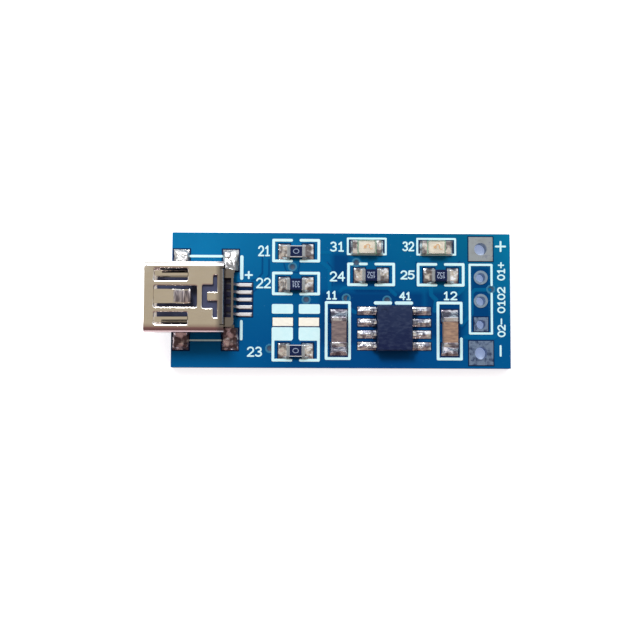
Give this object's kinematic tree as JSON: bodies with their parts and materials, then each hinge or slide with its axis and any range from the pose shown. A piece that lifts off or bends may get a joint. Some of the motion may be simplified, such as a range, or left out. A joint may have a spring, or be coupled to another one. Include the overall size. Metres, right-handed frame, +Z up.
{
  "type": "lithium battery charger module",
  "caption": "Small circuit module that charges one lithium cell: mini-USB receptacle, charging chip, chip resistors and capacitors, indicator lamps and plated wire pads.",
  "frame": {"origin": "centre of the board's flat underside", "axes": "+X along the board from the USB mouth to the wire pads, +Y across the board towards the indicator lamps, +Z up out of the component face"},
  "size_m": [0.0391, 0.0146, 0.0056],
  "materials": {
    "solder_mask_board": "blue solder mask over glass-epoxy laminate, white print",
    "plated_pad": "tinned copper",
    "tinned_steel": "satin tinned sheet",
    "insulator": "moulded black plastic",
    "contact_metal": "bright tinned strip",
    "solder": "bright solder",
    "resistor_body": "ceramic with dark overcoat",
    "capacitor_body": "sintered tan ceramic",
    "lamp_substrate": "laminate",
    "lamp_lens": "cloudy moulded resin",
    "chip_moulding": "moulded epoxy"
  },
  "bodies": {
    "root": {"circuit_board": "solder_mask_board", "battery_plus_pad": "plated_pad", "battery_minus_pad": "plated_pad", "header_pad_1": "plated_pad", "header_pad_2": "plated_pad", "header_pad_3": "plated_pad", "usb_shell": "tinned_steel", "usb_housing": "insulator", "usb_contact_1": "contact_metal", "usb_contact_2": "contact_metal", "usb_contact_3": "contact_metal", "usb_contact_4": "contact_metal", "usb_contact_5": "contact_metal", "usb_tab_solder_1": "solder", "usb_tab_solder_2": "solder", "usb_tab_solder_3": "solder", "usb_tab_solder_4": "solder", "resistor_1_body": "resistor_body", "resistor_1_terminal_a": "solder", "resistor_1_terminal_b": "solder", "resistor_2_body": "resistor_body", "resistor_2_terminal_a": "solder", "resistor_2_terminal_b": "solder", "resistor_3_body": "resistor_body", "resistor_3_terminal_a": "solder", "resistor_3_terminal_b": "solder", "resistor_4_body": "resistor_body", "resistor_4_terminal_a": "solder", "resistor_4_terminal_b": "solder", "resistor_5_body": "resistor_body", "resistor_5_terminal_a": "solder", "resistor_5_terminal_b": "solder", "spare_land_1": "solder", "spare_land_2": "solder", "capacitor_1_body": "capacitor_body", "capacitor_1_terminal_a": "solder", "capacitor_1_terminal_b": "solder", "capacitor_2_body": "capacitor_body", "capacitor_2_terminal_a": "solder", "capacitor_2_terminal_b": "solder", "led_1_base": "lamp_substrate", "led_1_lens": "lamp_lens", "led_1_terminal_a": "solder", "led_1_terminal_b": "solder", "led_2_base": "lamp_substrate", "led_2_lens": "lamp_lens", "led_2_terminal_a": "solder", "led_2_terminal_b": "solder", "charger_chip_body": "chip_moulding", "charger_chip_lead_1": "contact_metal", "charger_chip_lead_2": "contact_metal", "charger_chip_lead_3": "contact_metal", "charger_chip_lead_4": "contact_metal", "charger_chip_lead_5": "contact_metal", "charger_chip_lead_6": "contact_metal", "charger_chip_lead_7": "contact_metal", "charger_chip_lead_8": "contact_metal"}
  },
  "joints": []
}
